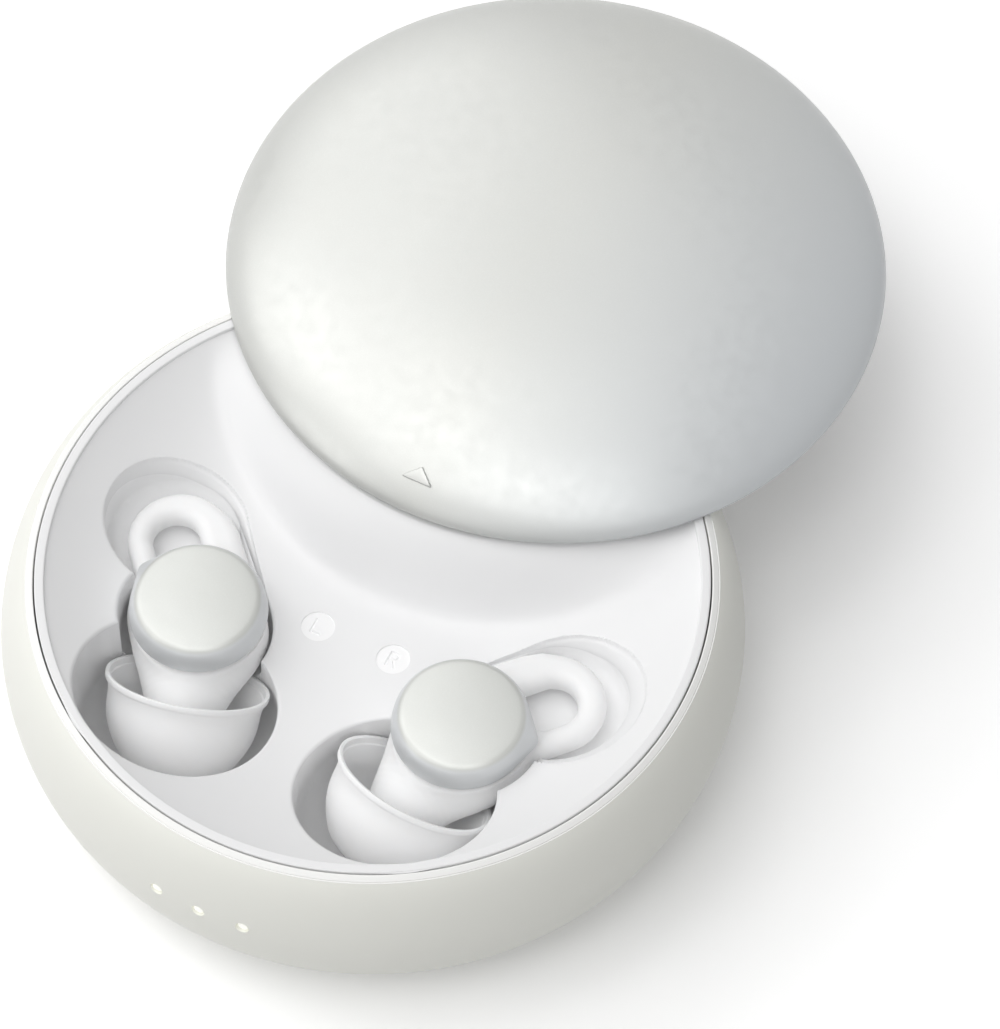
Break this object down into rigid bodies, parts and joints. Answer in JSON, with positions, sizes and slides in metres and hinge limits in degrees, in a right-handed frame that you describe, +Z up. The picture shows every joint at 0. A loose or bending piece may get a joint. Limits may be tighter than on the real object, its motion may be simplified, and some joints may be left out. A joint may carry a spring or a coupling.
{
  "type": "wireless earbuds charging case",
  "caption": "Round charging case with a dished tray, a domed lid that slides straight back and open, and wireless sleep earbuds with soft tips and wing loops in their pockets.",
  "frame": {"origin": "middle of the flat foot, on the surface the case stands on", "axes": "+Z up, the lid slides open towards +Y, the front with its charge lights faces -Y"},
  "size_m": [0.064, 0.0965, 0.0276],
  "materials": {
    "shell_plastic": "warm white satin, moulded",
    "tray_plastic": "neutral white, smooth",
    "pearl_paint": "pearl silver satin",
    "silicone": "soft white silicone",
    "foot_rubber": "matte",
    "white_plastic": "smooth",
    "dark_plastic": "fine grain",
    "light_guide": "frosted clear",
    "steel": "satin",
    "gold_contact": "gold plated",
    "circuit_board": "solder mask",
    "battery_wrap": "foil pouch",
    "foam": "foam",
    "magnet": "nickel plated"
  },
  "bodies": {
    "base": {"base_shell": "shell_plastic", "inner_tray": "tray_plastic", "foot_pad": "foot_rubber", "tray_screw_1": "steel", "tray_screw_2": "steel", "tray_screw_3": "steel", "light_pipe_left": "light_guide", "light_pipe_middle": "light_guide", "light_pipe_right": "light_guide", "led_board": "circuit_board", "main_board": "circuit_board", "usb_c_shell": "steel", "usb_c_tongue": "dark_plastic", "tact_switch": "dark_plastic", "battery_pad": "foam", "battery_cell": "battery_wrap", "contact_block_left": "dark_plastic", "contact_block_right": "dark_plastic", "pocket_magnet_left": "magnet", "pocket_magnet_right": "magnet", "base_magnet": "magnet", "slide_shoe": "white_plastic", "shoe_screw_front": "steel", "shoe_screw_rear": "steel"},
    "button": {"pairing_button": "white_plastic"},
    "pin_left_inner_body": {"pin_left_inner": "gold_contact"},
    "pin_left_outer_body": {"pin_left_outer": "gold_contact"},
    "pin_right_inner_body": {"pin_right_inner": "gold_contact"},
    "pin_right_outer_body": {"pin_right_outer": "gold_contact"},
    "lid": {"lid_cover": "pearl_paint", "lid_liner": "white_plastic", "lid_rail_left": "dark_plastic", "lid_rail_right": "dark_plastic", "lid_magnet_closed": "magnet", "lid_magnet_open": "magnet", "lid_screw_1": "steel", "lid_screw_2": "steel", "lid_screw_3": "steel", "lid_screw_4": "steel"},
    "left_bud": {"left_cap": "pearl_paint", "left_sleeve": "silicone", "left_ear_tip": "silicone", "left_housing": "white_plastic", "left_nozzle_mesh": "steel", "left_contact_inner": "gold_contact", "left_contact_outer": "gold_contact", "left_bud_battery": "battery_wrap", "left_bud_driver": "steel", "left_bud_board": "circuit_board"},
    "right_bud": {"right_cap": "pearl_paint", "right_sleeve": "silicone", "right_ear_tip": "silicone", "right_housing": "white_plastic", "right_nozzle_mesh": "steel", "right_contact_inner": "gold_contact", "right_contact_outer": "gold_contact", "right_bud_battery": "battery_wrap", "right_bud_driver": "steel", "right_bud_board": "circuit_board"}
  },
  "joints": [
    {"name": "lid_slide", "type": "slide", "parent": "base", "child": "lid", "axis": [0, 1, 0], "range_m": [-0.0354, 0]},
    {"name": "left_bud_lift", "type": "slide", "parent": "base", "child": "left_bud", "axis": [0, 0, 1], "range_m": [0, 0.03]},
    {"name": "right_bud_lift", "type": "slide", "parent": "base", "child": "right_bud", "axis": [0, 0, 1], "range_m": [0, 0.03]},
    {"name": "pairing_button_press", "type": "slide", "parent": "base", "child": "button", "axis": [0.342, 0.9397, 0], "range_m": [-0.0004, 0], "stiffness_N_per_m": 1000},
    {"name": "pin_left_inner_press", "type": "slide", "parent": "base", "child": "pin_left_inner_body", "axis": [0, 0, 1], "range_m": [-0.0008, 0], "stiffness_N_per_m": 200},
    {"name": "pin_left_outer_press", "type": "slide", "parent": "base", "child": "pin_left_outer_body", "axis": [0, 0, 1], "range_m": [-0.0008, 0], "stiffness_N_per_m": 200},
    {"name": "pin_right_inner_press", "type": "slide", "parent": "base", "child": "pin_right_inner_body", "axis": [0, 0, 1], "range_m": [-0.0008, 0], "stiffness_N_per_m": 200},
    {"name": "pin_right_outer_press", "type": "slide", "parent": "base", "child": "pin_right_outer_body", "axis": [0, 0, 1], "range_m": [-0.0008, 0], "stiffness_N_per_m": 200}
  ]
}
